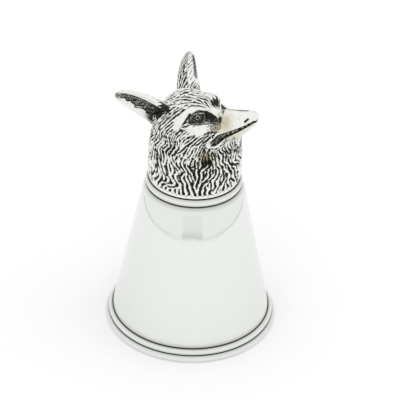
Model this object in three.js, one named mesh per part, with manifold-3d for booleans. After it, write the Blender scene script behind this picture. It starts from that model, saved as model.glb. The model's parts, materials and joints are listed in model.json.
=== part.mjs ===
// Silver hunting cup with a cast fox head, the kind that is drunk from with the head held down
// and stood on its rim when it is empty. Millimetres, +Z up, origin at the centre of the rim's
// resting plane. The fox looks along -Y, so its left side is +X.
//
// A spun cup with a closed end carries two wires round its mouth. A collar seats on the closed
// end, and the hollow head, cast in two halves that meet on the middle plane, stands on the
// collar. The ears are castings of their own, soldered to the halves.
import * as THREE from "three";
import { mergeVertices } from "three/addons/utils/BufferGeometryUtils.js";
import Module from "manifold-3d";

const wasm = await Module();
wasm.setup();

// Neck, which the collar and the end of the cup follow
const neckRadius = 20.4; // outside of the head where it stands on the collar
const collarStep = 1.2; // how far the collar stands out past the neck
const collarFoot = 0.7; // how far its lower edge does, on the cup's round end
const shoulderStep = 2.8; // how far the cup's shoulder does

// Spun cup
const footRadius = 37.37; // outside of the cone at the mouth
const shoulderHeight = 68.65; // of the cone, from the mouth to the rounded end
const endCurve = 6.0; // radius of the round between the cone and the flat end
const sheet = 1.0; // thickness of the spun sheet

// Wires round the mouth
const lowerWireStand = 2.15; // how far the lower wire stands out from the cup's mouth
const lowerWireHeight = 2.9;
const lowerWireTop = 1.5; // how far the lower wire's top edge stands out from the cone
const upperWireHeight = 2.5;
const upperWireStand = 1.2; // how far the upper wire's lower edge stands out from the cone
const upperWireBelly = 0.75; // rise of the upper wire's half-round face
const solderGap = 0.1; // between soldered pieces

// Collar between the cup and the head
const collarBelly = 0.35; // rise of the band's rounded face
const collarBand = 3.4; // height of the band
const lipWall = 0.9; // locating lip inside the neck
const lipHeight = 1.5;
const neckFit = 0.15; // clearance between the lip and the neck

// Fox head, measured forward from the cup's axis and up from the collar
const castingWall = 1.8;
const throatHeight = 24.0; // to the hollow behind the jaw
const muzzleReach = 11.8; // how far the nose stands out past the neck
const crownHeight = 40.6; // to the skull above the eyes
const cheekHalfWidth = 13.5;
const muzzleHalfWidth = 5.0;
const eyeball = 2.7; // radius
const mouthDepth = 2.4;
const mouthRear = 2.9; // opening of the mouth at its corner
const mouthFront = 1.2; // opening under the nose
const jawDepthRear = 4.0; // from the jaw's underside to the middle of the mouth
const jawDepthFront = 1.9;
const nostrilLength = 2.2;
const seamGap = 0.1; // between the two halves

// Ear castings
const earLength = 22.9; // from the skull's skin to the tip
const earHalfWidth = 6.4; // half the width between its edges
const earWall = 1.3;
const earBow = 0.8; // how far the middle of the ear bows backwards
const earRoot = 4.0; // length of its root below the skin
const earTang = 5.0; // straight length below the root, cut off where it meets the skull
const earFit = 0.3; // solder line between an ear and the skull

const turns = 64; // facets round the cup
const degrees = THREE.MathUtils.degToRad;
const lerp = THREE.MathUtils.lerp;

// Solids and geometries

function toSolid(geometry) {
  const bare = geometry.clone();
  bare.deleteAttribute("normal");
  bare.deleteAttribute("uv");
  const merged = mergeVertices(bare, 1e-4);
  return new wasm.Manifold(
    new wasm.Mesh({
      numProp: 3,
      vertProperties: merged.attributes.position.array,
      triVerts: new Uint32Array(merged.index.array),
    }),
  );
}

function toGeometry(solid) {
  const mesh = solid.getMesh();
  const geometry = new THREE.BufferGeometry();
  geometry.setAttribute("position", new THREE.BufferAttribute(mesh.vertProperties, 3));
  geometry.setIndex(new THREE.BufferAttribute(mesh.triVerts, 1));
  geometry.computeVertexNormals();
  return geometry;
}

// A closed profile of [radius, height] points, anticlockwise, turned round the Z axis.
function revolve(profile) {
  const points = [...profile, profile[0]].map(([r, z]) => new THREE.Vector2(r, z));
  return new THREE.LatheGeometry(points, turns).rotateX(Math.PI / 2);
}

// Points of an arc from one profile point to the next, bulging by rise to the right of the way.
function arc([r0, z0], [r1, z1], rise, steps) {
  const chord = Math.hypot(r1 - r0, z1 - z0);
  const radius = (chord * chord) / 8 / rise + rise / 2;
  const half = Math.asin(chord / 2 / radius);
  const out = [(z1 - z0) / chord, (r0 - r1) / chord];
  const along = [(r1 - r0) / chord, (z1 - z0) / chord];
  return Array.from({ length: steps + 1 }, (_, i) => {
    const angle = half * ((2 * i) / steps - 1);
    const x = radius * Math.sin(angle) + chord / 2;
    const y = radius * Math.cos(angle) - radius * Math.cos(half);
    return [r0 + along[0] * x + out[0] * y, z0 + along[1] * x + out[1] * y];
  });
}

// Rings of points joined into a closed skin, with a fan over each end. The rings run
// anticlockwise, seen from the end that they lead to.
function loft(rings) {
  const size = rings[0].length;
  const middle = (ring) =>
    ring.reduce((sum, p) => sum.add(p), new THREE.Vector3()).divideScalar(ring.length);
  const points = [...rings.flat(), middle(rings[0]), middle(rings.at(-1))];
  const index = [];
  for (let i = 0; i < rings.length - 1; i++) {
    for (let j = 0; j < size; j++) {
      const a = i * size + j;
      const b = i * size + ((j + 1) % size);
      index.push(a, b, b + size, a, b + size, a + size);
    }
  }
  const firstMiddle = rings.length * size;
  const lastRing = firstMiddle - size;
  for (let j = 0; j < size; j++) {
    const k = (j + 1) % size;
    index.push(firstMiddle, k, j, firstMiddle + 1, lastRing + j, lastRing + k);
  }
  const geometry = new THREE.BufferGeometry().setFromPoints(points);
  geometry.setIndex(index);
  return geometry;
}

// Cup body

const shoulderRadius = neckRadius + shoulderStep;
const coneLean = Math.atan2(footRadius - shoulderRadius, shoulderHeight);
const coneRadius = (z) => footRadius - Math.tan(coneLean) * z;
const endCentre = {
  r: shoulderRadius - endCurve * Math.cos(coneLean),
  z: shoulderHeight - endCurve * Math.sin(coneLean),
};
const endTop = endCentre.z + endCurve;

// Height of the closed end's outside: flat in the middle, then round down to the cone.
function endHeight(r) {
  const run = Math.max(r - endCentre.r, 0);
  return endCentre.z + Math.sqrt(endCurve ** 2 - run ** 2);
}

// The round of the closed end at a distance outside it, from the cone to the flat.
function endRound(offset, steps) {
  return Array.from({ length: steps + 1 }, (_, i) => {
    const angle = lerp(coneLean, Math.PI / 2, i / steps);
    const radius = endCurve + offset;
    return [endCentre.r + radius * Math.cos(angle), endCentre.z + radius * Math.sin(angle)];
  });
}

function cupBody() {
  const steps = 5;
  return revolve([
    [footRadius, 0],
    ...endRound(0, steps),
    [0, endTop],
    [0, endTop - sheet],
    ...endRound(-sheet, steps).reverse(),
    [footRadius - sheet / Math.cos(coneLean), 0],
  ]);
}

// Wires and collar

const rimRadius = footRadius + lowerWireStand;
const wireBore = (z) => coneRadius(z) + solderGap;

function lowerWire() {
  const top = lowerWireHeight;
  const foot = [lerp(wireBore(0), rimRadius, 2 / 3), 0];
  const widest = [rimRadius, 0.28 * top];
  return revolve([
    [wireBore(0), 0],
    ...arc(foot, widest, 0.16, 2),
    ...arc(widest, [wireBore(top) + lowerWireTop, top], 0.3, 3).slice(1),
    [wireBore(top), top],
  ]);
}

function upperWire() {
  const low = lowerWireHeight + solderGap;
  const high = low + upperWireHeight;
  const edge = 0.25;
  return revolve([
    [wireBore(low), low],
    ...arc([wireBore(low) + upperWireStand, low], [wireBore(high) + edge, high], upperWireBelly, 5),
    [wireBore(high), high],
  ]);
}

const collarSeat = neckRadius + collarFoot;
const lipOuter = neckRadius - castingWall - neckFit;
const collarLow = endHeight(collarSeat) + solderGap;
const collarTop = collarLow + collarBand;

function neckCollar() {
  const lipInner = lipOuter - lipWall;
  const seat = [0, 1 / 3, 2 / 3, 1].map((share) => {
    const r = lerp(lipInner, collarSeat, share);
    return [r, endHeight(r) + solderGap];
  });
  const edge = neckRadius + collarStep - collarBelly;
  return revolve([
    ...seat,
    ...arc([edge, collarLow], [edge, collarTop], collarBelly, 4),
    [lipOuter, collarTop],
    [lipOuter, collarTop + lipHeight],
    [lipInner, collarTop + lipHeight],
  ]);
}

// Fox head
// A station is a ring, level at the collar and leaning more until it is upright at the nose. It
// has its share of the way, the places forward and up where it meets the throat line and the
// crown line, its half width, how far its widest part sits above the middle, and its taper
// towards the crown line.

const neckEnd = collarTop + solderGap;
const reach = (share) => neckRadius + muzzleReach * share;
const above = (rise) => throatHeight + rise;
const crown = (drop) => crownHeight - drop;
const stations = [
  [0.0, [neckRadius, 0], [-neckRadius, 0], neckRadius, 0, 0],
  [0.1, [reach(0.02), 0.23 * throatHeight], [-neckRadius, 0.16 * crownHeight], neckRadius, 0, 0],
  [0.2, [reach(0.02), 0.48 * throatHeight], [0.2 - neckRadius, 0.33 * crownHeight], neckRadius - 0.1, 0, 0],
  [0.3, [reach(-0.01), 0.69 * throatHeight], [0.9 - neckRadius, 0.52 * crownHeight], neckRadius - 0.6, 0, 0],
  [0.39, [reach(-0.04), 0.86 * throatHeight], [2.4 - neckRadius, 0.7 * crownHeight], neckRadius - 1.6, 0, -0.06],
  [0.47, [reach(-0.05), above(0)], [5.6 - neckRadius, crown(5.0)], neckRadius - 4.4, 0, -0.2],
  [0.55, [reach(0.03), above(2.4)], [-0.43 * neckRadius, crown(0.1)], 0.82 * cheekHalfWidth, -0.04, -0.36],
  [0.63, [reach(0.17), above(4.2)], [-0.07 * neckRadius, crown(-2.3)], 0.62 * cheekHalfWidth, -0.1, -0.5],
  [0.7, [reach(0.3), above(5.8)], [0.26 * neckRadius, crown(-1.0)], 0.54 * cheekHalfWidth, -0.14, -0.56],
  [0.77, [reach(0.45), above(7.0)], [reach(-0.74), crown(1.6)], 1.42 * muzzleHalfWidth, -0.1, -0.5],
  [0.84, [reach(0.58), above(8.7)], [reach(-0.14), above(17.1)], 1.2 * muzzleHalfWidth, -0.02, -0.42],
  [0.91, [reach(0.73), above(10.6)], [reach(0.42), above(19.25)], muzzleHalfWidth, 0, -0.24],
  [0.96, [reach(0.84), above(12.3)], [reach(0.75), above(20.5)], 0.82 * muzzleHalfWidth, 0, -0.12],
  [0.985, [reach(0.92), above(13.8)], [reach(0.92), above(20.7)], 0.64 * muzzleHalfWidth, 0, 0],
  [1.0, [reach(0.99), above(15.8)], [reach(1), above(19.6)], 0.3 * muzzleHalfWidth, 0, 0],
];

// A cubic curve through one value of every station. Its slope at a station is weighted towards
// the nearer neighbour.
function curveThrough(pick) {
  const x = stations.map((station) => station[0]);
  const y = stations.map(pick);
  const rate = (i) => (y[i + 1] - y[i]) / (x[i + 1] - x[i]);
  const last = x.length - 1;
  const slope = y.map((_, i) => {
    if (i === 0) return rate(0);
    if (i === last) return rate(last - 1);
    return lerp(rate(i - 1), rate(i), (x[i] - x[i - 1]) / (x[i + 1] - x[i - 1]));
  });
  return (u) => {
    const next = x.findIndex((value, i) => i > 0 && u <= value);
    const i = (next < 0 ? last : next) - 1;
    const h = x[i + 1] - x[i];
    const s = (u - x[i]) / h;
    const start = (1 + 2 * s) * (1 - s) ** 2 * y[i] + s * (1 - s) ** 2 * h * slope[i];
    return start + s * s * (3 - 2 * s) * y[i + 1] + s * s * (s - 1) * h * slope[i + 1];
  };
}

const throatForward = curveThrough((station) => station[1][0]);
const throatUp = curveThrough((station) => station[1][1]);
const crownForward = curveThrough((station) => station[2][0]);
const crownUp = curveThrough((station) => station[2][1]);
const halfWidth = curveThrough((station) => station[3]);
const widestShift = curveThrough((station) => station[4]);
const taper = curveThrough((station) => station[5]);

// The bare skin at a share of the way to the nose and an angle round the head, 0 on the crown
// line and positive on the fox's left. slim narrows it for a core that stays inside.
function skin(u, angle, slim = 0) {
  const c = Math.cos(angle);
  const width = halfWidth(u) - Math.min(slim, 0.55 * halfWidth(u));
  const share = (1 + c + widestShift(u) * (1 - c * c)) / 2;
  const forward = lerp(throatForward(u), crownForward(u), share);
  const height = lerp(throatUp(u), crownUp(u), share);
  const side = width * Math.sin(angle) * (1 + taper(u) * c);
  return new THREE.Vector3(side, -forward, neckEnd + height);
}

function skinNormal(u, angle) {
  const step = 0.004;
  const along = skin(Math.min(u + step, 1), angle).sub(skin(Math.max(u - step, 0), angle));
  const round = skin(u, angle + step).sub(skin(u, angle - step));
  return along.cross(round).normalize();
}

// Hills and hollows of the face: where each is on the skin, how far it stands out, and its radii
// forward, across and up, tilted up at the front by an angle in degrees.
const eyePlace = [0.63, degrees(73)];
const face = [
  { at: eyePlace, rise: -1.9, radii: [5.4, 5.0, 3.0], tilt: 0 }, // eye socket
  { at: [0.652, degrees(51)], rise: 2.3, radii: [4.0, 3.1, 3.0], tilt: -10 }, // brow
  { at: [0.75, degrees(62)], rise: -1.2, radii: [3.2, 4.0, 3.6], tilt: 0 }, // tear hollow
  { at: [0.57, degrees(110)], rise: 0.6, radii: [6.0, 4.0, 3.2], tilt: 10 }, // cheek bone
  { at: [0.92, degrees(75)], rise: 0.5, radii: [4.5, 3.0, 2.6], tilt: 30 }, // whisker pad
];

function sculpted(u, angle, grow) {
  const point = skin(u, angle);
  const normal = skinNormal(u, angle);
  let rise = grow;
  for (const hill of face) {
    for (const side of [1, -1]) {
      const offset = point.clone().sub(skin(hill.at[0], side * hill.at[1]));
      offset.applyAxisAngle(new THREE.Vector3(1, 0, 0), degrees(hill.tilt));
      const [forward, across, height] = hill.radii;
      const away = (offset.y / forward) ** 2 + (offset.x / across) ** 2 + (offset.z / height) ** 2;
      rise += hill.rise * Math.exp(-away);
    }
  }
  return point.addScaledVector(normal, rise);
}

// Rings of points on a skin, from one share of the way to another.
function skinRings(from, to, rings, round, point) {
  return Array.from({ length: rings + 1 }, (_, i) =>
    Array.from({ length: round }, (_, j) => point(lerp(from, to, i / rings), (-2 * Math.PI * j) / round)),
  );
}

function headSkin(grow = 0) {
  return toSolid(loft(skinRings(0, 1, 38, 44, (u, angle) => sculpted(u, angle, grow))));
}

// The hollow that the core leaves in the neck and the skull. The muzzle is solid.
function coreHollow() {
  const coreEnd = 0.62;
  const inset = (u, angle) => {
    const round = Math.sqrt(Math.max(1 - (u / coreEnd) ** 6, 0.02));
    const centre = skin(u, 0).add(skin(u, Math.PI)).multiplyScalar(0.5);
    const point = skin(u, angle).addScaledVector(skinNormal(u, angle), -castingWall);
    return point.sub(centre).multiplyScalar(round).add(centre);
  };
  const rings = skinRings(0, coreEnd, 14, 28, inset);
  const below = rings[0].map((p) => p.clone().setZ(neckEnd - 1));
  return toSolid(loft([below, ...rings]));
}

// The slot of the mouth follows the jaw and goes in by mouthDepth from each side.
function mouthSlot() {
  const steps = 12;
  const shares = Array.from({ length: steps + 1 }, (_, i) => i / steps);
  const middle = shares.map((share) => {
    const u = lerp(0.575, 0.99, share);
    const low = new THREE.Vector2(throatForward(u), throatUp(u));
    const high = new THREE.Vector2(crownForward(u), crownUp(u));
    return low.add(high.sub(low).setLength(lerp(jawDepthRear, jawDepthFront, share ** 2)));
  });
  const lead = middle.at(-1).clone().sub(middle.at(-2)).setLength(mouthDepth);
  middle.push(middle.at(-1).clone().add(lead));
  const lip = (side) =>
    middle.map((p, i) => {
      const way = middle[Math.min(i + 1, steps + 1)].clone().sub(middle[Math.max(i - 1, 0)]);
      const across = new THREE.Vector2(-way.y, way.x).normalize();
      const opening = lerp(mouthFront, mouthRear, Math.max(1 - i / steps, 0) ** 3);
      return p.clone().addScaledVector(across, (side * opening) / 2);
    });
  const corner = middle[0].clone().sub(middle[1]).setLength(mouthRear / 2).add(middle[0]);
  const outline = new THREE.Shape([...lip(-1), ...lip(1).reverse(), corner]);
  const width = 2 * neckRadius;
  const prism = new THREE.ExtrudeGeometry(outline, { depth: width, bevelEnabled: false });
  prism.translate(0, 0, -width / 2);
  const forward = new THREE.Vector3(0, -1, 0);
  const up = new THREE.Vector3(0, 0, 1);
  const right = new THREE.Vector3(-1, 0, 0);
  prism.applyMatrix4(new THREE.Matrix4().makeBasis(forward, up, right)).translate(0, 0, neckEnd);
  const tongue = skinRings(0.3, 0.985, 20, 24, (u, angle) => skin(u, angle, mouthDepth));
  return toSolid(prism).subtract(toSolid(loft(tongue)));
}

function eyeAt(side) {
  const [u, angle] = eyePlace;
  const sunk = 1.0 + eyeball / 2;
  const centre = skin(u, side * angle).addScaledVector(skinNormal(u, side * angle), -sunk);
  return toSolid(new THREE.SphereGeometry(eyeball, 14, 9).translate(centre.x, centre.y, centre.z));
}

function nostrilAt(side) {
  const drop = new THREE.SphereGeometry(1, 10, 8).scale(0.8, 0.4, nostrilLength / 2);
  const centre = skin(0.965, side * degrees(72));
  return toSolid(drop.rotateX(degrees(-35)).translate(centre.x, centre.y, centre.z));
}

function wholeHead() {
  let solid = headSkin().subtract(coreHollow()).subtract(mouthSlot());
  for (const side of [1, -1]) {
    solid = solid.add(eyeAt(side)).subtract(nostrilAt(side));
  }
  return solid;
}

function headHalf(whole, side) {
  const size = 4 * (crownHeight + neckRadius);
  const block = new THREE.BoxGeometry(size, size, size);
  block.translate((side * (size + seamGap)) / 2, 0, neckEnd);
  return toGeometry(whole.intersect(toSolid(block)));
}

// Ears
// Each is a cupped leaf: crescent sections lofted from its root in the skull to its tip.

const earPlace = [0.424, degrees(47.3)];
const earLean = { back: degrees(45.6), out: degrees(45) }; // from upright
const earTurn = degrees(35); // how far the opening turns outwards
const earSpread = degrees(103); // half the angle that the ear goes round

function earGeometry(side, skull) {
  const root = skin(...earPlace);
  const length = new THREE.Vector3(Math.tan(earLean.out), Math.tan(earLean.back), 1).normalize();
  const opening = new THREE.Vector3(0.55, -0.84, 0);
  opening.addScaledVector(length, -opening.dot(length)).normalize();
  opening.applyAxisAngle(length, earTurn);
  const across = length.clone().cross(opening);
  const wall = (s, q, thickness) => {
    const half = Math.max(earHalfWidth * Math.sqrt(1 - s ** 4) * (1 - 0.1 * s), 0.25);
    const spread = earSpread * (1 - 0.25 * s);
    const radius = half / Math.sin(spread);
    const thin = Math.sqrt(1 - q ** 4) * Math.min(1, 1.5 * Math.sqrt(1 - s) + 0.2);
    const within = radius - thickness * thin;
    const depth = radius * Math.cos(spread) - within * Math.cos(spread * q);
    return root
      .clone()
      .addScaledVector(length, s * (earLength + earRoot) - earRoot)
      .addScaledVector(across, within * Math.sin(spread * q))
      .addScaledVector(opening, depth - earBow * Math.sin(Math.PI * s));
  };
  const steps = 12;
  const shares = Array.from({ length: steps + 1 }, (_, i) => 1 - (2 * i) / steps);
  const inner = shares.slice(1, -1).reverse();
  const levels = Array.from({ length: 15 }, (_, i) => Math.sin((0.98 * Math.PI * i) / 28));
  const rings = [-earTang / (earLength + earRoot), ...levels].map((s) => [
    ...shares.map((q) => wall(s, q, 0)),
    ...inner.map((q) => wall(s, q, earWall)),
  ]);
  const placed = rings.map((ring) => {
    if (side > 0) return ring;
    return ring.map((p) => p.clone().setX(-p.x)).reverse();
  });
  return toGeometry(toSolid(loft(placed)).subtract(skull));
}

// Assembly

const polished = new THREE.MeshStandardMaterial({ color: 0xe9ebe8, roughness: 0.12, metalness: 1 });
const oxidised = new THREE.MeshStandardMaterial({ color: 0xb9bab6, roughness: 0.32, metalness: 1 });

const cup = new THREE.Group();

function addPiece(name, geometry, material) {
  const mesh = new THREE.Mesh(geometry, material);
  mesh.name = name;
  cup.add(mesh);
}

addPiece("cup_body", cupBody(), polished);
addPiece("rim_lower_wire", lowerWire(), polished);
addPiece("rim_upper_wire", upperWire(), polished);
addPiece("neck_collar", neckCollar(), polished);

const whole = wholeHead();
const skull = headSkin(earFit);
for (const [name, side] of [["left", 1], ["right", -1]]) {
  addPiece("head_" + name + "_half", headHalf(whole, side), oxidised);
  addPiece("ear_" + name, earGeometry(side, skull), oxidised);
}

export default cup;
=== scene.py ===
# %% [markdown]
# A silver hunting cup with a fox's head, standing on its mouth.
# The cup is spun from sheet, two wires and a collar are turned, and the hollow head and the ears
# are castings that are chased by hand: the fur is cut with punches and the cuts are blackened.
# The scene could keep the plain solids and paint fur on them, but the chasing is what makes this
# piece, so every surface is worked out again with numpy, finely enough to hold real relief.

# %% Load the frame
import json
import math

import bpy
import numpy as np
from mathutils import Matrix, Vector

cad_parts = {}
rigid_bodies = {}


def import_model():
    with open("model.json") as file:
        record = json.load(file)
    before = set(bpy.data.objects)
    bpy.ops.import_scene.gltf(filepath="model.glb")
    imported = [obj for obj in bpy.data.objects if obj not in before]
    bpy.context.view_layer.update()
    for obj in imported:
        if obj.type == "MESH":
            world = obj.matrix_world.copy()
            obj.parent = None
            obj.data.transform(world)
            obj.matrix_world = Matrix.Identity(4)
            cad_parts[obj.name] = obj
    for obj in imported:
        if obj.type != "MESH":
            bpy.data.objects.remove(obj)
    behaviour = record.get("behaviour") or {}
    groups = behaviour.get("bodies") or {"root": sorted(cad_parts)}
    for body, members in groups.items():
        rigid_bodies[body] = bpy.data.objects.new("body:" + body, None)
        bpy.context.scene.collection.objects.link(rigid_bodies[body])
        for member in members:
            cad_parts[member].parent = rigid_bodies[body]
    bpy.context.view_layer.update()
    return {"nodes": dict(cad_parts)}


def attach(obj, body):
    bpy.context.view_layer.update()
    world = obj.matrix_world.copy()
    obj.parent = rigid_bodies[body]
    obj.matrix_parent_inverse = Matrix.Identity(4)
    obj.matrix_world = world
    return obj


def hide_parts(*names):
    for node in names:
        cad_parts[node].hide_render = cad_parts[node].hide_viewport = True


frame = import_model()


def put(name, data):
    """A new object in the scene that carries this camera, lamp or mesh."""
    thing = bpy.data.objects.new(name, data)
    bpy.context.scene.collection.objects.link(thing)
    return thing


print("nodes:", ", ".join(sorted(frame["nodes"])))

# %% [markdown]
# The camera stands where the photographer stood: a little more than half right of the fox's face,
# a third of the way up the sky, with a long lens, so that the cup hardly tapers with distance.
# It could be aimed with a constraint, but a matrix says plainly where it is and how it rolls.

# %% Camera
SWING = math.radians(-52)  # round the cup, from straight in front of its -Y side
CLIMB = math.radians(33.52)
ROLL = math.radians(1.84)
AIM = (0.00296, 0, 0.06219)  # metres to the right, back and up, before the swing
DISTANCE = 0.8  # metres from there
FOCAL, PICTURE = 1777, 400  # focal length and width of the picture, both in its dots
SENSOR = 36

around = Matrix.Rotation(SWING, 3, "Z")
back = around @ Vector((0, -math.cos(CLIMB), math.sin(CLIMB)))
level = around @ Vector((1, 0, 0))
upward = around @ Vector((0, math.sin(CLIMB), math.cos(CLIMB)))
right = level * math.cos(ROLL) + upward * math.sin(ROLL)
up = upward * math.cos(ROLL) - level * math.sin(ROLL)

camera_data = bpy.data.cameras.new("camera")
camera_data.sensor_width = SENSOR
camera_data.lens = FOCAL / PICTURE * SENSOR
camera = put("camera", camera_data)
stand = Matrix([right, up, back]).transposed().to_4x4()
stand.translation = around @ Vector(AIM) + back * DISTANCE
camera.matrix_world = stand
bpy.context.scene.camera = camera
print("camera in metres:", [round(value, 3) for value in camera.location])

# %% [markdown]
# Every piece is a grid of points that numpy works out as whole arrays. Pieces could be modelled
# one by one with Blender's tools, but a grid keeps every point's place known, so that relief and
# black can be put on it by formula. The sign of the enclosed volume tells if faces point inwards.

# %% Grids into meshes
def grid_faces(number, wrap=False):
    """Four-sided faces between neighbours of a grid of point numbers, row by row."""
    if wrap:
        number = np.concatenate([number, number[:, :1]], axis=1)
    corners = [number[:-1, :-1], number[:-1, 1:], number[1:, 1:], number[1:, :-1]]
    return np.stack(corners, -1).reshape(-1, 4).tolist()


def fan_faces(ring, middle):
    """Triangles from the points of a ring to one point in its middle."""
    return [[int(a), int(b), middle] for a, b in zip(ring, np.roll(ring, -1))]


def enclosed(points, mesh):
    """Volume inside a mesh: the sum over its triangles of (a . b x c) / 6."""
    mesh.calc_loop_triangles()
    corners = np.empty(len(mesh.loop_triangles) * 3, np.int32)
    mesh.loop_triangles.foreach_get("vertices", corners)
    a, b, c = points[corners].reshape(-1, 3, 3).transpose(1, 0, 2)
    return float((a * np.cross(b, c)).sum() / 6)


def surface(name, points, faces):
    """A mesh object from points in millimetres."""
    mesh = bpy.data.meshes.new(name)
    mesh.from_pydata((points / 1000).tolist(), [], faces)
    return put(name, mesh)


def build(name, points, faces, slot, stands_for, sharp, **painted):
    """A piece of the cup with smooth faces; painted values become point attributes."""
    piece = surface(name, points, faces)
    mesh = piece.data
    volume = enclosed(points, mesh)
    if volume < 0:
        mesh.flip_normals()
    for layer, values in painted.items():
        data = mesh.attributes.new(layer, "FLOAT", "POINT").data
        data.foreach_set("value", np.ascontiguousarray(values, np.float32))
    mesh.polygons.foreach_set("use_smooth", np.ones(len(mesh.polygons), bool))
    mesh.set_sharp_from_angle(angle=math.radians(sharp))
    mesh.update()
    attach(piece, "root")
    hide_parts(*stands_for)
    print(name, "has", len(mesh.loop_triangles), "triangles and", round(abs(volume)), "mm3")


def ramp(low, high, value):
    """0 below low, 1 above high, and 3t^2 - 2t^3 between them."""
    t = np.clip((value - low) / (high - low), 0, 1)
    return t * t * (3 - 2 * t)


def mix(start, end, share):
    """start + (end - start) * share"""
    return start + (end - start) * share


# %% [markdown]
# The cup itself is spun: a disc of sheet is pressed over a turning block. The wires are drawn and
# bent round, the collar is turned. All of them are profiles carried round the axis. Blender's
# Screw modifier could do that, but a grid also lets the dark solder lines be painted by place.

# %% Profiles carried round the axis
TURNS = 224
SHARP_TURNED, SHARP_CHASED = 40, 75  # degrees from which an edge stays sharp
JOINT_SHADE = 0.42  # strength of the painted shade beside a solder line


def arc(start, end, rise, steps=12):
    """Points of an arc from start to end that bulges by rise to the right of the way."""
    start, end = np.array(start, float), np.array(end, float)
    way = end - start
    chord = np.hypot(*way)
    radius = chord**2 / 8 / rise + rise / 2
    half = math.asin(chord / 2 / radius)
    angle = np.linspace(-half, half, steps + 1)
    along = radius * np.sin(angle) + chord / 2
    out = radius * np.cos(angle) - radius * math.cos(half)
    right_hand = np.array([way[1], -way[0]]) / chord
    return start + along[:, None] * way / chord + out[:, None] * right_hand


def walked(line):
    """How far along a line of points each of them lies."""
    return np.concatenate([[0], np.cumsum(np.linalg.norm(np.diff(line, axis=0), axis=1))])


def closer(profile, step):
    """The same profile with extra points, so that no two neighbours are more than step apart."""
    run = walked(profile)
    cuts = [np.linspace(a, b, max(int(math.ceil((b - a) / step)), 1) + 1)[:-1]
            for a, b in zip(run[:-1], run[1:])]
    places = np.append(np.concatenate(cuts), run[-1])
    return np.stack([np.interp(places, run, column) for column in profile.T], 1)


def joint_black_and_shade(profile, lines, width):
    """How black each profile point is: exp(-(d / width)^4) at distance d from the nearest solder
    line, and beside it a weaker painted shade, exp(-(d / 2.6 width)^2) times its strength."""
    gap = profile[:, None] - np.array(lines, float)[None]
    nearest = np.hypot(gap[..., 0], gap[..., 1]).min(1)
    # the core is oxide in the joint; the weaker tail beside it is painted shade
    core = np.exp(-((nearest / width) ** 4))
    return np.maximum(core, JOINT_SHADE * np.exp(-((nearest / width / 2.6) ** 2)))


def turned(name, profile, lines, stands_for, width):
    """A profile of [radius, height] turned round Z: (r cos t, r sin t, z). Its ends either both
    lie on the axis, where each becomes one point, or are joined to each other."""
    poled = profile[0, 0] == 0
    rings = profile[1:-1] if poled else profile
    t = 2 * np.pi * np.arange(TURNS) / TURNS
    r, z = rings[:, :1], rings[:, 1:]
    points = np.stack([r * np.cos(t), r * np.sin(t), z + 0 * t], -1).reshape(-1, 3)
    number = np.arange(len(points)).reshape(len(rings), TURNS)
    black = np.repeat(joint_black_and_shade(rings, lines, width), TURNS)
    if poled:
        count = len(points)
        points = np.concatenate([points, [[0, 0, profile[0, 1]], [0, 0, profile[-1, 1]]]])
        black = np.concatenate([black, [0, 0]])
        faces = grid_faces(number, wrap=True)
        faces += fan_faces(number[0][::-1], count) + fan_faces(number[-1], count + 1)
    else:
        faces = grid_faces(np.concatenate([number, number[:1]]), wrap=True)
    build(name, points, faces, "polished_silver", stands_for, SHARP_TURNED, patina=black)


# %% [markdown]
# The sizes are those of the part's own source, so each piece lies exactly on its solid. Every
# radius could be typed in, but a few driving sizes keep the wires on the cone and the collar on
# the closed end when one of them changes.

# %% Sizes of the cup
NECK = 20.4  # outside of the head on the collar
FOOT = 37.37  # outside of the cone at the mouth
SHOULDER = 68.65  # height of the cone
SHOULDER_STEP = 2.8  # how far the shoulder stands out past the neck
END_CURVE = 6.0  # radius of the round between the cone and the flat end
SHEET = 1.0
SOLDER = 0.1
LOWER_WIRE, UPPER_WIRE = 2.9, 2.5  # heights of the two wires
LOWER_STAND = 2.15  # how far the lower wire stands out from the mouth
COLLAR = 3.4  # height of the collar's band
COLLAR_STEP, COLLAR_FOOT = 1.2, 0.7  # how far its face and its lower edge pass the neck
COLLAR_BELLY = 0.35
CASTING = 1.8  # wall of the head
LIP_FIT, LIP_WALL, LIP_HEIGHT = 0.15, 0.9, 1.5  # of the collar's lip inside the neck

lean = math.atan2(FOOT - NECK - SHOULDER_STEP, SHOULDER)
end_centre = np.array([NECK + SHOULDER_STEP - END_CURVE * math.cos(lean),
                       SHOULDER - END_CURVE * math.sin(lean)])


def cone(z):
    """Radius of the cone's outside: it loses tan(lean) for every millimetre of height."""
    return FOOT - math.tan(lean) * z


def wire_bore(z):
    """Radius inside a wire: the cone's, and a line of solder."""
    return cone(z) + SOLDER


def end_height(r):
    """Height of the closed end: flat in the middle, then a round of END_CURVE."""
    return end_centre[1] + math.sqrt(END_CURVE**2 - max(r - end_centre[0], 0) ** 2)


def end_round(offset, steps=24):
    """The round of the closed end, offset outwards: centre + radius (cos t, sin t)."""
    t = np.linspace(lean, math.pi / 2, steps + 1)
    return end_centre + (END_CURVE + offset) * np.stack([np.cos(t), np.sin(t)], 1)


upper_low = LOWER_WIRE + SOLDER
upper_top = upper_low + UPPER_WIRE
collar_seat = NECK + COLLAR_FOOT
collar_low = end_height(collar_seat) + SOLDER
collar_top = collar_low + COLLAR
neck_end = collar_top + SOLDER
print("closed end at", round(end_height(0), 2), "mm, head stands at", round(neck_end, 2), "mm")

# %% [markdown]
# The cup is a shell of sheet with a rounded closed end. Its profile has closer points beside the
# solder lines, which hold black oxide with painted shade beside it, so that the black fades
# finely. A texture could do that too, but it would have to be placed by hand.

# %% Cup
lower_groove = [cone(LOWER_WIRE + SOLDER / 2) + 1.1, LOWER_WIRE + SOLDER / 2]
upper_groove = [cone(upper_top + SOLDER / 2), upper_top + 0.08]
seat_groove = [collar_seat, collar_low - SOLDER / 2]
neck_groove = [NECK, collar_top + SOLDER / 2]

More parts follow.
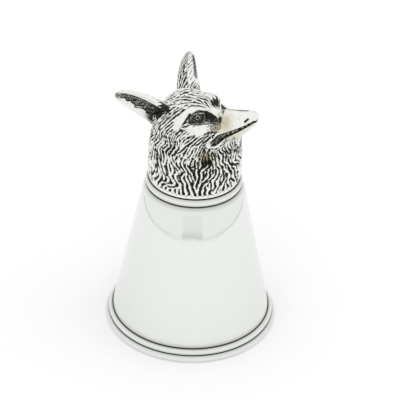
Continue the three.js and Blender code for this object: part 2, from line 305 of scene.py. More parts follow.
heights = [0, 2, 4, 5, *np.arange(5.2, 9, 0.16), 9.5, 12, 20, 30, 40, 50, 60]
wall = [[cone(z), z] for z in heights]
seat = [[r, end_height(r)] for r in np.arange(22.5, 20, -0.14)]
flat_end = [[12, end_height(12)], [0, end_height(0)]]
outside = np.array(wall + end_round(0)[:14].tolist() + seat + flat_end)
inside_foot = [[FOOT - SHEET / math.cos(lean), 0]]
inside = np.array(inside_foot + end_round(-SHEET).tolist() + [[0, end_height(0) - SHEET]])
section = np.concatenate([outside[::-1], inside])
turned("cup_shell", section, [upper_groove, seat_groove], ["cup_body"], 0.58)

# %% [markdown]
# The wires are half round and the collar is a flat band with a slight belly: arcs between a few
# corners. A bevelled curve would be quicker, but it can't follow the cone on its inside.

# %% Wires and collar
rim = FOOT + LOWER_STAND
widest = 0.81  # height at which the lower wire is widest
lower = np.concatenate([
    [[wire_bore(0), 0]],
    arc([mix(wire_bore(0), rim, 2 / 3), 0], [rim, widest], 0.16),
    arc([rim, widest], [wire_bore(2.74) + 1.5, 2.74], 0.3)[1:],
    [[wire_bore(2.83) + 1.36, 2.84], [wire_bore(LOWER_WIRE) + 1.2, LOWER_WIRE]],
    [[wire_bore(LOWER_WIRE), LOWER_WIRE]],
])
turned("wire_round_the_mouth", closer(lower, 0.22), [lower_groove], ["rim_lower_wire"], 0.42)

upper = np.concatenate([
    [[wire_bore(upper_low), upper_low], [wire_bore(upper_low) + 0.9, upper_low]],
    arc([wire_bore(3.06) + 1.1, 3.1], [wire_bore(5.44) + 0.3, 5.44], 0.75),
    [[wire_bore(upper_top) + 0.18, upper_top], [wire_bore(upper_top), upper_top]],
])
turned("wire_above_it", closer(upper, 0.2), [lower_groove, upper_groove], ["rim_upper_wire"], 0.4)

lip = NECK - CASTING - LIP_FIT
seat_line = [[r, end_height(r) + SOLDER] for r in np.linspace(lip - LIP_WALL, collar_seat, 12)]
edge = NECK + COLLAR_STEP - COLLAR_BELLY
band = np.concatenate([
    seat_line,
    arc([edge, collar_low + 0.12], [edge, collar_top - 0.12], COLLAR_BELLY, 20),
    [[edge - 0.16, collar_top], [lip, collar_top], [lip, collar_top + LIP_HEIGHT]],
    [[lip - LIP_WALL, collar_top + LIP_HEIGHT]],
])
seat_corner = [collar_seat + 0.1, collar_low]
grooves = [seat_groove, neck_groove, seat_corner]
turned("collar_band", closer(band, 0.25), grooves, ["neck_collar"], 0.42)

# %% [markdown]
# The head is a tube that starts level on the collar and leans until it is upright at the nose.
# Its section at each share of the way meets a throat line and a crown line and has a half width
# and a taper. It could be sculpted by hand, but as a formula it is the same head as the solid's,
# and fur, eyes and mouth can be placed on it in millimetres.
# Axes here are forward (a), to the fox's left (b) and up from the collar (z).

# %% Stations of the head
THROAT = 24.0  # height at which the throat turns forward
REACH = 11.8  # how far the nose stands out past the neck
CROWN = 40.6  # height of the back of the crown
CHEEK = 13.5  # half width behind the eyes
MUZZLE = 5.0  # half width of the muzzle


def forward(share):
    """A place forward of the neck, as a share of how far the nose stands out."""
    return NECK + REACH * share


# share, throat a, throat z, crown a, crown z, half width, widest shift, taper
STATIONS = np.array([
    [0.0, NECK, 0, -NECK, 0, NECK, 0, 0],
    [0.1, forward(0.02), 0.23 * THROAT, -NECK, 0.16 * CROWN, NECK, 0, 0],
    [0.2, forward(0.02), 0.48 * THROAT, 0.2 - NECK, 0.33 * CROWN, NECK - 0.1, 0, 0],
    [0.3, forward(-0.01), 0.69 * THROAT, 0.9 - NECK, 0.52 * CROWN, NECK - 0.6, 0, 0],
    [0.39, forward(-0.04), 0.86 * THROAT, 2.4 - NECK, 0.7 * CROWN, NECK - 1.6, 0, -0.06],
    [0.47, forward(-0.05), THROAT, 5.6 - NECK, CROWN - 5.0, NECK - 4.4, 0, -0.2],
    [0.55, forward(0.03), THROAT + 2.4, -0.43 * NECK, CROWN - 0.1, 0.82 * CHEEK, -0.04, -0.36],
    [0.63, forward(0.17), THROAT + 4.2, -0.07 * NECK, CROWN + 2.3, 0.62 * CHEEK, -0.1, -0.5],
    [0.7, forward(0.3), THROAT + 5.8, 0.26 * NECK, CROWN + 1.0, 0.54 * CHEEK, -0.14, -0.56],
    [0.77, forward(0.45), THROAT + 7.0, forward(-0.74), CROWN - 1.6, 1.42 * MUZZLE, -0.1, -0.5],
    [0.84, forward(0.58), THROAT + 8.7, forward(-0.14), THROAT + 17.1, 1.2 * MUZZLE, -0.02, -0.42],
    [0.91, forward(0.73), THROAT + 10.6, forward(0.42), THROAT + 19.25, MUZZLE, 0, -0.24],
    [0.96, forward(0.84), THROAT + 12.3, forward(0.75), THROAT + 20.5, 0.82 * MUZZLE, 0, -0.12],
    [0.985, forward(0.92), THROAT + 13.8, forward(0.92), THROAT + 20.7, 0.64 * MUZZLE, 0, 0],
    [1.0, forward(0.99), THROAT + 15.8, forward(1), THROAT + 19.6, 0.3 * MUZZLE, 0, 0],
])
print(len(STATIONS), "stations from the neck to the nose")

# %% [markdown]
# Between the stations every size runs on smoothly, and a point of the skin follows from its share
# of the way and its angle round the head. Straight lines between the stations would be simpler,
# but they would show as rings under the fur.

# %% Bare skin of the head
def along(column, u):
    """A cubic through one column of the stations, its slopes weighted to the nearer neighbour."""
    x, y = STATIONS[:, 0], STATIONS[:, column]
    slope = np.gradient(y, x)
    i = np.clip(np.searchsorted(x, u) - 1, 0, len(x) - 2)
    h = x[i + 1] - x[i]
    s = (u - x[i]) / h
    start = (1 + 2 * s) * (1 - s) ** 2 * y[i] + s * (1 - s) ** 2 * h * slope[i]
    return start + s * s * (3 - 2 * s) * y[i + 1] + s * s * (s - 1) * h * slope[i + 1]


def skin(u, angle):
    """Points at share u and angle round the head, 0 on the crown and positive to the left:
    a and z go from throat to crown by f = (1 + c + shift (1 - c^2)) / 2 with c = cos(angle), and
    b = half width * sin(angle) * (1 + taper c)."""
    throat_a, throat_z, crown_a, crown_z, width, shift, taper = [along(k, u) for k in range(1, 8)]
    c = np.cos(angle)
    f = (1 + c + shift * (1 - c * c)) / 2
    a, z = mix(throat_a, crown_a, f), mix(throat_z, crown_z, f)
    return np.stack(np.broadcast_arrays(a, width * np.sin(angle) * (1 + taper * c), z), -1)


def unit(vectors):
    """Vectors divided by their lengths."""
    return vectors / (np.linalg.norm(vectors, axis=-1, keepdims=True) + 1e-12)


def skin_normal(u, angle, step=0.004):
    """Outward direction: the way to the nose crossed with the way round."""
    ahead = skin(np.minimum(u + step, 1), angle) - skin(np.maximum(u - step, 0), angle)
    return unit(np.cross(ahead, skin(u, angle + step) - skin(u, angle - step)))


print("tip of the nose at", skin(1.0, 0.0).round(1).tolist(), "mm forward, left and up")

# %% [markdown]
# Rows of the grid are spaced evenly in millimetres along the side of the face, so that the fur's
# strokes and the eye get as many points there as the neck does. The sockets, brows, cheeks and
# the nose pad are hills and hollows laid over the bare skin.

# %% Grid of the head
ROWS, HALF = 330, 260  # rows to the nose, columns from the crown to the throat


def run_along(shares, degrees):
    """Millimetres from the neck along the skin at one angle, as a share of the whole way."""
    run = walked(skin(shares, math.radians(degrees) + 0 * shares))
    return run / run[-1]


fine = np.linspace(0, 1, 2001)
run = run_along(fine, 75) + run_along(fine, 20)
share = np.interp(np.linspace(0, run[-1], ROWS), run, fine)
U = share[:, None]
ANGLE = (np.arange(2 * HALF) * math.pi / HALF)[None]  # once round, from the crown to the left
bare = skin(U, ANGLE)
normal = skin_normal(U, ANGLE)

# share, angle, rise, radii forward, across and up, tilt
HILLS = [
    [0.63, 73, -1.9, 5.4, 5.0, 3.0, 0],  # socket
    [0.652, 51, 2.3, 4.0, 3.1, 3.0, -10],  # brow
    [0.75, 62, -1.2, 3.2, 4.0, 3.6, 0],  # hollow of the tear line
    [0.57, 110, 0.6, 6.0, 4.0, 3.2, 10],  # cheek
    [0.92, 75, 0.5, 4.5, 3.0, 2.6, 30],  # nose pad
]


def hill_rise(points):
    """Hills and hollows of the face: each rises by exp(-distance^2) of its own long radii."""
    rise = np.zeros(points.shape[:-1])
    for u, turn, top, *radii, tilt in HILLS:
        c, s = math.cos(math.radians(tilt)), math.sin(math.radians(tilt))
        for side in (1, -1):
            o = points - skin(u, side * math.radians(turn))
            tilted = [o[..., 0] * c + o[..., 2] * s, o[..., 1], o[..., 2] * c - o[..., 0] * s]
            rise += top * np.exp(-((np.stack(tilted, -1) / radii) ** 2).sum(-1))
    return rise


form = bare + normal * hill_rise(bare)[..., None]
gaps = np.linalg.norm(np.diff(form[:, HALF * 3 // 2], axis=0), axis=1)
print("row spacing on the cheek:", gaps.min().round(2), "to", gaps.max().round(2), "mm")

# %% [markdown]
# Fur needs three tools: a number that wanders smoothly over the skin, a direction in millimetres
# turned into rows and columns, and a way to read the grid between its points. Blender's textures
# can do the first and the last, but numpy does them for the whole grid at once.

# %% Wandering and reading on a grid
def drift(points, length, seed, waves=14):
    """A smooth wandering number: the sum of plane waves of about one length, spread to 1."""
    rng = np.random.default_rng(seed)
    way = unit(rng.normal(size=(waves, 3))) * rng.uniform(0.7, 1.4, (waves, 1)) * 2 * np.pi / length
    return np.cos(points @ way.T + rng.uniform(0, 2 * np.pi, waves)).sum(-1) * math.sqrt(2 / waves)


def slopes(points):
    """Millimetres per row and per column at every point of a grid that closes sideways."""
    return np.gradient(points, axis=0), (np.roll(points, -1, 1) - np.roll(points, 1, 1)) / 2


def rows_and_columns(way, per_row, per_column):
    """A direction in millimetres as rows and columns: solves for the two shares that add up."""
    rr, cc = (per_row**2).sum(-1), (per_column**2).sum(-1)
    rc = (per_row * per_column).sum(-1)
    r, c = (way * per_row).sum(-1), (way * per_column).sum(-1)
    whole = np.maximum(rr * cc - rc * rc, 1e-9)
    return np.stack([(r * cc - c * rc) / whole, (c * rr - r * rc) / whole], -1).astype(np.float32)


def reader(places):
    """A function that reads a grid at places between its points, by the four round each."""
    rows, columns = places.shape[:2]
    r = np.clip(places[..., 0], 0, rows - 1.001)
    c = places[..., 1] % columns
    r0, c0 = r.astype(np.int32), c.astype(np.int32)
    fr, fc = (r - r0).astype(np.float32), (c - c0).astype(np.float32)
    corners = []
    for down, row_weight in ((0, 1 - fr), (1, fr)):
        for over, column_weight in ((0, 1 - fc), (1, fc)):
            number = (r0 + down) * columns + (c0 + over) % columns
            corners.append((number, (row_weight * column_weight)[..., None]))

    def read(field):
        flat = field.reshape(rows * columns, -1)
        return sum(flat[number] * weight for number, weight in corners).reshape(field.shape)

    return read


# %% [markdown]
# Fur is chased in strokes that lie along the hair. To lay them the way a hand does, a random
# field is combed: at every round each point is compared with its neighbours half a stroke away
# to either side, and averaged with those ahead and behind it along the hair. Stripes of the
# right width grow, branch and end in points, as cut fur does. A Voronoi or wave texture would
# be quicker, but its strokes don't turn with the hair.

# %% Combing a grid
def comb(points, way, stroke, seed, reach, rounds=7, hops=5, noise=0.3):
    """Stripes about stroke millimetres apart that follow the unit directions in way.
    Each round: h = f/2 + (f(+stroke/6) + f(-stroke/6))/4, g = h - (h(+stroke/2) + h(-stroke/2))/2,
    then a bell-shaped mean over reach millimetres each way along the hair, then tanh."""
    per_row, per_column = slopes(points)
    across = unit(np.cross(np.cross(per_row, per_column), way))
    hair = rows_and_columns(way, per_row, per_column)
    beside = rows_and_columns(across, per_row, per_column)
    rows, columns = points.shape[:2]
    here = np.stack(np.meshgrid(np.arange(rows), np.arange(columns), indexing="ij"), -1)
    sixth = [reader(here + beside * (side * stroke / 6)[..., None]) for side in (1, -1)]
    half = [reader(here + beside * (side * stroke / 2)[..., None]) for side in (1, -1)]
    hop = (reach / hops + np.zeros((rows, columns)))[..., None]
    trail = []
    for side in (1, -1):
        place = here.astype(np.float32)
        for k in range(1, hops + 1):
            place = place + side * hop * reader(place)(hair)
            trail.append((math.exp(-1.6 * (k / hops) ** 2), reader(place)))
    start = (drift(points, 2.1, seed, 40) + drift(points, 1.2, seed + 1, 40)).astype(np.float32)
    f = start
    for _ in range(rounds):
        h = f / 2 + sum(read(f) for read in sixth) / 4
        g = h - sum(read(h) for read in half) / 2
        g = (g + sum(w * read(g) for w, read in trail)) / (1 + sum(w for w, _ in trail))
        g = g / g.std() + noise * start
        f = np.tanh(1.5 * g)
    return g / g.std()


# %% [markdown]
# Hair points back from the face and down the neck. Its direction is the skin's own way towards
# the neck, turned by a slow random angle that is large on the neck, where the fur is wavy, and
# small on the crown. The strokes are wide on the neck and fine on the face.

# %% Fur of the head
def bell(distance, width=1.0):
    """exp(-(distance / width)^2): 1 on the spot, nearly 0 past two widths."""
    return np.exp(-((distance / width) ** 2))


def away(points, centre, radii):
    """Distance from a centre, counted in its radii forward, across and up."""
    return np.linalg.norm((points - centre) / radii, axis=-1)


per_row, _ = slopes(form)
downward = -unit(per_row)
sideways = unit(np.cross(normal, downward))
height = form[..., 2]
swing = 0.42 * (1 - 0.6 * ramp(24, 34, height))
wander = 0.5 * swing * drift(form, 14, 5) + swing * drift(form * [0.45, 0.45, 1.1], 6.5, 6)
way = downward * np.cos(wander)[..., None] + sideways * np.sin(wander)[..., None]

mirrored = form * np.where(form[..., 1:2] > 0, [1, -1, 1], [1, 1, 1])  # both sides on the right
cheek = bell(away(mirrored, [9, -13, 26], [6, 5, 5]))
hanging = unit(normal * normal[..., 2:] - [0, 0, 1])
way = unit(way + 1.3 * cheek[..., None] * hanging)
stroke = mix(1.75, 0.98, ramp(1, 24, height))
fur = comb(form, way, stroke, 11, reach=0.95 * stroke)
print("combed", fur.size, "points")

# %% [markdown]
# The face is placed in a small frame of its own on the right eye: p runs forward along the eye
# and q up over the brow, both in millimetres. The left side is the mirror image. Everything is
# set by distance to an outline. A mask could be painted instead, but it would blur at its edges.

# %% Frame of the eye and distances
EYE = np.array([6.9, -7.3, 35.6])
EYE_FORWARD = unit(np.array([0.80, 0.53, 0.29]))
EYE_OUT = unit(np.array([0.12, -0.62, 0.78]))
EYE_UP = unit(np.cross(EYE_FORWARD, EYE_OUT))
EYE_UP = EYE_UP * np.sign(EYE_UP[2])

from_eye = mirrored - EYE
P, Q, OUT = from_eye @ EYE_FORWARD, from_eye @ EYE_UP, from_eye @ EYE_OUT
A, B, Z = mirrored[..., 0], mirrored[..., 1], mirrored[..., 2]
# powers of t times this give the shares of four corners in a curve between the middle two
CUBIC = np.array([[0, 2, 0, 0], [-1, 0, 1, 0], [2, -5, 4, -1], [-1, 3, -3, 1]]) / 2
FAR = 99  # distance given to places that an outline doesn't reach


def curve(corners, closed=True, steps=6):
    """A smooth curve through corners: a cubic between each two, whose slope at a corner is half
    the way from the corner before it to the one after."""
    k = np.array(corners, float)
    if closed:
        k = np.concatenate([k[-1:], k, k[:2]])
    else:
        k = np.concatenate([[2 * k[0] - k[1]], k, [2 * k[-1] - k[-2]]])
    powers = np.linspace(0, 1, steps, endpoint=False)[:, None] ** np.arange(4)
    fours = np.stack([k[:-3], k[1:-2], k[2:-1], k[3:]], 1)
    points = (powers @ CUBIC @ fours).reshape(-1, 2)
    return points if closed else np.concatenate([points, corners[-1:]])


def line_distance(x, y, points):
    """Distance to a line through points, and the share of the line at the nearest place."""
    best = np.full(x.shape, 1e9)
    where = np.zeros(x.shape)
    for k, (a, b) in enumerate(zip(points[:-1], points[1:])):
        dx, dy = b - a
        t = np.clip(((x - a[0]) * dx + (y - a[1]) * dy) / (dx * dx + dy * dy + 1e-12), 0, 1)
        d = np.hypot(x - a[0] - t * dx, y - a[1] - t * dy)
        where = np.where(d < best, (k + t) / (len(points) - 1), where)
        best = np.minimum(best, d)
    return best, where


def inside_distance(x, y, points):
    """Distance to a closed outline, negative inside it: inside, a ray crosses it an odd number
    of times."""
    loop = np.concatenate([points, points[:1]])
    distance, _ = line_distance(x, y, loop)
    odd = np.zeros(x.shape, bool)
    for a, b in zip(loop[:-1], loop[1:]):
        crosses = (a[1] > y) != (b[1] > y)
        reach = (b[0] - a[0]) * (y - a[1]) / (b[1] - a[1] + 1e-12) + a[0]
        odd ^= crosses & (x < reach)
    return np.where(odd, -distance, distance)


# %% [markdown]
# An outline is a few corners with a smooth curve through them. It could be a Blender curve laid
# on the head, but as corners in the flat frame its distance is quick to work out.

# %% Outlines on the face
# the eye, its dark front corner with the tear line, and strokes that end it, painted grey as shade
ALMOND = [(-4.4, -0.9), (-4.0, 0.7), (-2.9, 2.1), (-1.2, 2.8), (0.6, 2.6), (2.6, 2.1),
          (3.8, 1.7), (4.1, 0.1), (3.1, -2.0), (2.4, -3.4), (0.4, -3.8), (-1.5, -3.5),
          (-3.4, -2.9), (-4.3, -2.0)]
CORNER = [(3.4, 1.9), (5.4, 1.4), (6.6, 0.8), (7.8, -0.3), (8.7, -1.7), (9.3, -3.0),
          (9.6, -5.1), (9.6, -7.0), (8.5, -8.0), (6.5, -8.3), (4.6, -8.6), (4.4, -6.8),
          (4.3, -4.9), (3.8, -3.3), (3.0, -2.0), (3.0, 0.0)]
HATCH_SHADE = [(4.1, -7.2), (7.0, -7.8), (6.0, -9.0), (3.9, -10.6), (2.5, -11.5), (0.2, -10.8),
         (1.3, -9.4)]
# creases behind the eye and a fold in front of the cheek
LID = [(-3.5, 2.0), (-4.1, 1.3), (-4.8, 0.3), (-5.5, -0.8), (-6.9, -2.3), (-9.0, -3.8)]
UNDER_LID = [(-4.5, -1.6), (-5.0, -3.0), (-6.2, -4.0), (-8.3, -5.2)]
FOLD = [(7.4, -8.2), (7.0, -8.7), (6.2, -9.4), (5.3, -10.2)]
# smooth places: a band round the eye from above, and the cheek under it
BAND = [(6.3, 1.8), (4.5, 2.4), (1.8, 3.4), (-1.2, 4.4), (-4.4, 4.8), (-7.0, 3.4),
        (-9.1, 1.8), (-10.8, -1.2), (-11.4, -3.8), (-9.6, -4.4), (-8.4, -3.6), (-6.4, -2.0),
        (-4.8, 0.1), (-3.6, 2.2), (-1.2, 2.7), (2.0, 2.2), (4.0, 1.5)]
CHEEK_PATCH = [(-4.4, -3.4), (-1.0, -3.9), (2.4, -3.7), (3.6, -4.4), (4.4, -6.8), (2.5, -8.2),
               (0.4, -9.2), (-1.6, -8.6), (-3.9, -6.4), (-6.5, -4.6)]

near_face = np.abs(OUT) < 6
far_away = np.where(near_face, 0, FAR)
outlines = [ALMOND, CORNER, BAND, CHEEK_PATCH, HATCH_SHADE]
almond, corner, band_edge, patch, hatch_shade = [
    inside_distance(P, Q, curve(outline)) + far_away for outline in outlines
]
lid, lid_share = line_distance(P, Q, curve(LID, closed=False))
under_lid, under_share = line_distance(P, Q, curve(UNDER_LID, closed=False))
fold, _ = line_distance(P, Q, np.array(FOLD))
lid, under_lid, fold = lid + far_away, under_lid + far_away, fold + far_away
print("points in the eye:", int((almond < 0).sum()))

# %% [markdown]
# The mouth is a deep slot, wide where its corner droops and narrow under the nose. Its middle
# line is given in the side view, with its opening at each place. The nose ends in two slanted
# slots.

# %% Mouth and nostrils
MOUTH = [(17.3, 27.5), (18.4, 29.2), (19.7, 30.9), (21.3, 32.3), (23.5, 33.8), (25.8, 35.5),
         (28.5, 37.6), (30.5, 39.3), (32.8, 41.3)]
OPENINGS = [2.4, 2.6, 2.7, 2.3, 1.9, 1.65, 1.25, 1.0, 1.0]
MOUTH_SPREAD = math.radians(150)  # from the throat to either side
NOSTRIL = [(30.65, 42.5), (29.8, 41.2)]
NOSTRIL_HALF = 0.42  # half its width

mouth_line = curve(MOUTH, closed=False)
mouth, mouth_share = line_distance(A, Z, mouth_line)
opening = np.interp(mouth_share, np.linspace(0, 1, len(OPENINGS)), OPENINGS)
front = ramp(0.43, 0.47, U) * (np.abs(ANGLE - math.pi) < MOUTH_SPREAD)
gape = np.where(front > 0, mouth - opening / 2, FAR)  # negative inside the slot

nostril, _ = line_distance(A, Z, np.array(NOSTRIL))
nostril = np.where((U > 0.93) & (B < -1.0), nostril - NOSTRIL_HALF, FAR)
print("mouth runs", walked(mouth_line)[-1].round(1), "mm")

# %% [markdown]
# Relief and black are decided together: the oxide stays in the cuts and is polished off where
# the metal stands up. The muzzle, the lids, the cheek under the eye and the lips are smooth, and
# hair covers the rest. An image could be painted by hand, but distances to the outlines put every
# cut in its place in millimetres.

# %% Hair and smooth places
def spot(a, z, long, high):
    """A soft spot on both cheeks, centred at a forward and z up."""
    return bell(np.hypot((A - a) / long, (Z - z) / high)) * (B < -7)


def within(field):
    """The field held between -1 and 1."""
    return np.clip(field, -1, 1)


def blacken(shade):
    """Raise the painted black to at least this shade."""
    np.maximum(black, shade, out=black)


lip_height = np.interp(A, mouth_line[:, 0], mouth_line[:, 1])
below = Z < lip_height
root_line = 0.77 * A + 0.64 * Z - 0.6 * ramp(38, 40, Z)
muzzle = ramp(31.6, 33.0, root_line) * ramp(0.64, 0.70, U)
muzzle *= np.where(below, ramp(24.5, 27.5, A), 1)
chin = ramp(0.92, 0.95, U) + 0 * A
lips = ramp(1.15, 0.75, gape)
smooth_band = ramp(0.6, -0.8, band_edge)
smooth_patch = ramp(1.1, -1.9, patch)
dark_eye = ramp(0.15, -0.15, almond)
dark_corner = ramp(0.35, -0.45, corner)
bare_metal = np.max([muzzle, chin, lips, smooth_band, smooth_patch, dark_eye, dark_corner], axis=0)
hair = (1 - bare_metal) * ramp(1.3, 2.1, Z)
relief = hair * mix(0.42, 0.2, ramp(15, 35, height)) * np.clip(fur, -1.3, 1.1)

# positive where the cloth has polished more of the black away
polish = 0.02 + 0.25 * drift(form, 7, 21) + 0.3 * drift(form, 2.4, 22, 30)
polish += 0.32 * cheek + 0.55 * ramp(32, 37, height)
polish -= 0.3 * ramp(8, 16, A) * ramp(27, 20, Z)
polish += 1.1 * spot(11.2, 20.0, 2.6, 2.8)
polish -= 0.4 * bell(away(mirrored, [7.6, -1.8, 41.2], 3.4))
polish += 0.17 * ramp(11, 4, Z) * ramp(4, 10, A)
polish -= 0.3 * ramp(2, -6, A) * ramp(30, 24, Z)
contrast = 0.42 - 0.11 * ramp(19, 25, Z) * ramp(41, 37, Z)
black = hair * np.clip(0.5 - contrast * (fur + polish), 0, 1)
print("share covered by hair:", hair.mean().round(2))

# %% [markdown]
# The eye is a sunk almond with a ball in it, a ring cut round the iris and a drilled pupil. Its
# front corner is a dark hollow that runs down as a speckled tear line. A separate eyeball would
# be easier, but on the real head it is one casting with the face.

# %% Eyes and brows
relief += 1.5 * bell(away(mirrored, [8.6, -4.4, 39.2], [2.6, 2.0, 2.4]))  # brow over the corner
relief += 0.9 * bell(away(mirrored, [17.6, -3.4, 37.8], 2.6))  # root of the muzzle

iris = np.hypot(P + 0.2, Q - 0.2)
ball = 1.5 * np.sqrt(np.clip(1 - (np.hypot((P + 0.2) / 1.15, Q + 0.1) / 3.2) ** 2, 0, 1))
inside_eye = ramp(0.0, -0.9, almond)
relief += inside_eye * (ball - 1.15 - 0.3 * bell(iris - 1.35, 0.22) - 0.5 * bell(iris, 0.5))
relief += 0.3 * bell(almond - 0.35, 0.35) * ramp(3.6, 2.6, P)
relief -= 0.35 * bell(lid, 0.42) * ramp(1.0, 0.85, lid_share)
relief -= 0.3 * bell(under_lid, 0.25) * ramp(1.0, 0.7, under_share)
relief -= 0.35 * ramp(0.2, -0.5, corner) + 0.3 * bell(fold, 0.3)
grain = drift(form, 1.1, 31, 40)
fleck = drift(form, 0.7, 33, 40)
relief += 0.1 * grain * ramp(0.0, -0.5, np.minimum(almond + 0.3, corner))

rings = 0.2 * bell(iris - 0.85, 0.24) + 0.22 * bell(almond + 0.8, 0.24)
tear = ramp(0.9, -1.8, Q) * ramp(0.9, -0.5, corner)
speckle = mix(0.78, 0.5, ramp(-1.5, -5.0, Q)) - 0.12 * ramp(7.0, 9.0, P)
speckle += 0.1 * within(grain) + 0.13 * within(fleck)
blacken(dark_eye * (0.73 + 0.04 * within(fleck) - rings))
blacken(mix(0.93 * dark_corner, speckle * ramp(0.9, -0.9, corner), tear))
# painted shade: grey over the chased strokes below the tear line
blacken(ramp(1.6, -0.6, hatch_shade) * (0.6 + 0.16 * within(0.4 * grain - fur)))
blacken(0.8 * ramp(1.05, 0.3, lid) * ramp(1.0, 0.7, lid_share))
blacken(0.55 * ramp(0.5, 0.0, under_lid) * ramp(1.0, 0.6, under_share))
blacken(0.85 * ramp(0.4, 0.15, fold))
blacken(0.7 * ramp(0.45, 0.2, np.hypot(P - 8.8, Q - 0.1)) * near_face)

# the black of the ear's hollow runs out over the skull, and some stays between the brows
ear_foot = away(mirrored, [-12.6, -9.0, 32.0], [3.6, 4.2, 4.6])
blacken(0.93 * ramp(1.1, 0.9, ear_foot + 0.16 * within(fur)))
brow_foot = away(form, [9.2, 1.4, 39.8], [3.2, 2.2, 2.5])
blacken(0.75 * ramp(1.15, 0.6, brow_foot + 0.25 * within(fur)))
print("relief from", relief.min().round(2), "to", relief.max().round(2), "mm")

# %% [markdown]
# The mouth is cut as a slot with raised lips and small teeth on its black floor. The seam between
# the halves shows as a dark line on the bridge of the nose, where no hair covers it. A boolean
# could cut the slot, but moving the grid's points inwards keeps one closed surface.

# %% Mouth, nose and seam
cut = ramp(0.12, -0.22, gape)
teeth = np.cos(2 * np.pi * mouth_share * 11) * ramp(0.15, 0.3, mouth_share)
on_floor = cut * ramp(0.5, 0.9, teeth) * ramp(-0.1, -0.45, gape)
slot_depth = 2.3 * cut - 0.9 * on_floor
relief += 0.3 * bell(gape - 0.45, 0.4)
# painted shade: a dark line outside the lips near the mouth's corner
blacken(0.7 * bell(gape - 1.2, 0.3) * ramp(0.5, 0.25, mouth_share) * front)
blacken((0.68 + 0.12 * within(fleck)) * ramp(0.15, -0.15, gape))
black *= 1 - 0.45 * cut * ramp(0.8, 0.97, teeth)

relief -= 0.9 * ramp(0.12, -0.15, nostril)
relief += 0.12 * bell(nostril - 0.35, 0.3)
blacken(0.97 * ramp(0.1, -0.1, nostril))

seam_width = np.interp(A, [15, 18, 26], [0.14, 0.5, 1.3])
seam = bell(B, seam_width) * muzzle * ramp(29.2, 28.0, A) * (Z > lip_height)
relief -= 0.15 * seam
blacken(0.64 * seam)
blacken(0.9 * ramp(0.45, 0.15, Z))
print("black share of the head:", black.mean().round(2))

# %% [markdown]
# Silver also tarnishes: a warm brown bloom stays in the hollow under the jaw and at the root of
# the muzzle, where no polishing cloth reaches. On the underside of the lower jaw the same brown is
# painted shade. It is painted as a second value, because it lies on bright metal and on black
# alike.

# %% Tarnish and painted shade of the head
hollow = spot(15.5, 21.8, 2.2, 2.6)
pit = spot(16.0, 18.7, 2.3, 2.4)
root = bell(np.hypot((P - 12.2) / 3.1, (Q + 6.0) / 4.4)) * near_face
tarnish = 0.75 * hollow + 0.7 * pit + 0.85 * root + 0.8 * ramp(4.5, 7.5, P) * tear
tarnish += 0.16 * ramp(0.3, 1.4, drift(form, 2.6, 46, 40)) * near_face
# painted shade: the underside of the lower jaw is browned and darkened
tarnish += 0.3 * below * front * ramp(20, 24, A)
tarnish = np.clip(tarnish, 0, 1)
stippled_grey = 0.57 + 0.1 * (within(grain) + within(fleck) - within(fur))
# painted shade: a grey stipple below the mouth's corner, above the hollow under the jaw
black = mix(black, stippled_grey, 0.8 * spot(15.2, 27.4, 2.3, 3.0) * (gape > 1.6))
black = mix(black, stippled_grey, 0.85 * ramp(0.25, 0.7, hollow))
blacken(0.7 * ramp(0.3, 0.7, pit + 0.14 * within(-fur)))
print("tarnished share of the head:", tarnish.mean().round(2))

# %% [markdown]
# The halves are cut on the middle plane. Each has the chased outside at full fineness, a plain
# inside at every fifth point, and a flat joint face between them, so that it is a closed hollow
# casting. Boolean cuts could do this, but a grid can simply be built in two halves.

# %% Outside and hollow
COARSE = 5  # the inside has a point for every fifth of the outside's
HOLLOW_END = 0.63  # share of the way to the nose at which the hollow closes
GAP = 0.01  # between the middle plane and each half
DOME = [0.35, 0.62, 0.82, 0.95]  # rings that round the end of the nose
TIP = np.array([forward(1.0) + 0.75, 0, THROAT + 17.7])

worked = form + normal * relief[..., None]
slot_depth *= np.clip(np.abs(form[..., 1]) / 1.5, 0, 1)
worked[..., 1] -= np.sign(form[..., 1]) * slot_depth


def to_part(points):
    """Head axes to the part's: x = b, y = -a, z = z + neck_end."""
    return np.stack([points[..., 1], -points[..., 0], points[..., 2] + neck_end], -1)


def beside_middle(points, side):
    """Keep points on their own side of the middle plane, the edges on it and the foot level."""
    points[..., 1] = side * np.maximum(side * points[..., 1], GAP)
    points[:, [0, -1], 1] = side * GAP
    points[0, :, 2] = 0
    return points


def inside_of(columns):
    """The plain inside: bare skin less the casting's wall, drawn in to the centre by
    sqrt(1 - (share / end)^6) towards the hollow's end."""
    last = np.searchsorted(share, HOLLOW_END - 0.01) // COARSE * COARSE
    rows = np.arange(0, last + 1, COARSE)
    pick = np.ix_(rows, columns[::COARSE])
    centre = (bare[rows][:, :1] + bare[rows][:, HALF:HALF + 1]) / 2
    shrink = np.sqrt(np.clip(1 - (share[rows] / HOLLOW_END) ** 6, 0, 1))[:, None, None]
    return centre + (bare[pick] - CASTING * normal[pick] - centre) * shrink


print("deepest point of the mouth:", slot_depth.max().round(2), "mm")

# %% [markdown]
# A half is put together by point numbers: faces of the outside, faces of the inside turned round,
# and flat joint faces between their rims. A fill tool could close the rims, but these faces are
# known beforehand and come out the same every time.

# %% Two halves of the head
def joint_faces(outer, inner, tip):
    """Flat faces between the outside's rim and the inside's, then across the solid nose."""
    faces = []
    for k in range(len(inner) - 1):
        strip = slice(k * COARSE, (k + 1) * COARSE + 1)
        faces.append([*outer[strip, 0][::-1], *inner[k:k + 2, 0]])
        faces.append([*outer[strip, -1], *inner[k:k + 2, -1][::-1]])
    for k in range(inner.shape[1] - 1):
        strip = slice(k * COARSE, (k + 1) * COARSE + 1)
        faces.append([*outer[0, strip], *inner[0, k:k + 2][::-1]])
    solid = outer[(len(inner) - 1) * COARSE:]
    faces.append([solid[0, 0], inner[-1, 0], inner[-1, -1], solid[0, -1]])
    faces += [[low[0], low[-1], high[-1], high[0]] for low, high in zip(solid[:-1], solid[1:])]
    faces.append([solid[-1, 0], solid[-1, -1], tip])
    return [[int(number) for number in face] for face in faces]


